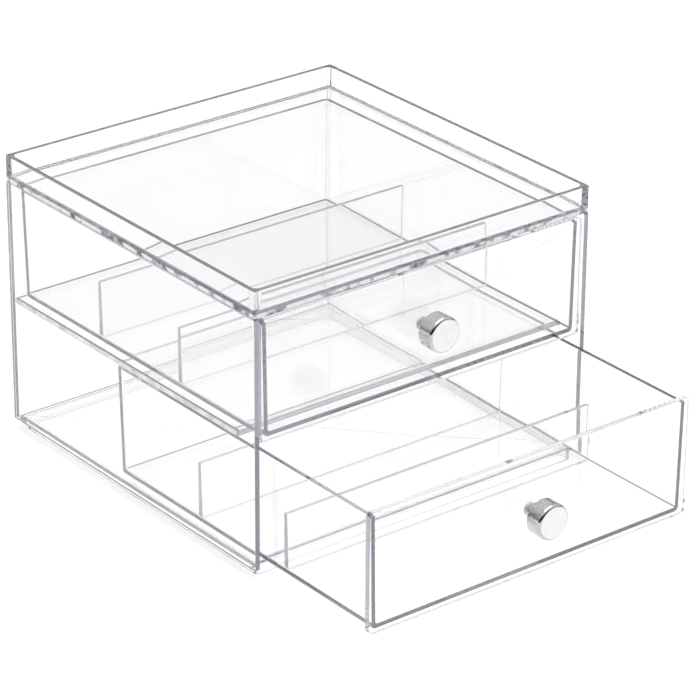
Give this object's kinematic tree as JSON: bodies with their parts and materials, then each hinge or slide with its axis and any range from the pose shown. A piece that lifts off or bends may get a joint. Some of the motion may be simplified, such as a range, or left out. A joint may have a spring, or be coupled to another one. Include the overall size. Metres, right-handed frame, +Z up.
{
  "type": "two-drawer vanity organizer",
  "caption": "Clear stacking vanity box with a rimmed tray on top and divided pull-out drawers, each with a rounded clear front and a round chrome knob.",
  "frame": {"origin": "centre of the casing's footprint on the resting plane, under the stacking plinth", "axes": "+X to the right seen from the front, +Y toward the back, +Z up; the drawers open toward -Y"},
  "size_m": [0.176, 0.2598, 0.13],
  "materials": {
    "clear_plastic": "water-clear, polished",
    "knob_chrome": "mirror bright",
    "screw_steel": "zinc plated"
  },
  "bodies": {
    "casing": {"left_side_panel": "clear_plastic", "right_side_panel": "clear_plastic", "back_panel": "clear_plastic", "base_panel": "clear_plastic", "middle_shelf": "clear_plastic", "top_tray": "clear_plastic"},
    "upper_drawer": {"upper_drawer_front": "clear_plastic", "upper_drawer_tray": "clear_plastic", "upper_front_divider": "clear_plastic", "upper_rear_divider": "clear_plastic", "upper_knob": "knob_chrome", "upper_knob_screw": "screw_steel"},
    "lower_drawer": {"lower_drawer_front": "clear_plastic", "lower_drawer_tray": "clear_plastic", "lower_front_divider": "clear_plastic", "lower_rear_divider": "clear_plastic", "lower_knob": "knob_chrome", "lower_knob_screw": "screw_steel"}
  },
  "joints": [
    {"name": "upper_drawer_slide", "type": "slide", "parent": "casing", "child": "upper_drawer", "axis": [0, -1, 0], "range_m": [0, 0.13]},
    {"name": "lower_drawer_slide", "type": "slide", "parent": "casing", "child": "lower_drawer", "axis": [0, -1, 0], "range_m": [-0.07, 0.06]}
  ]
}
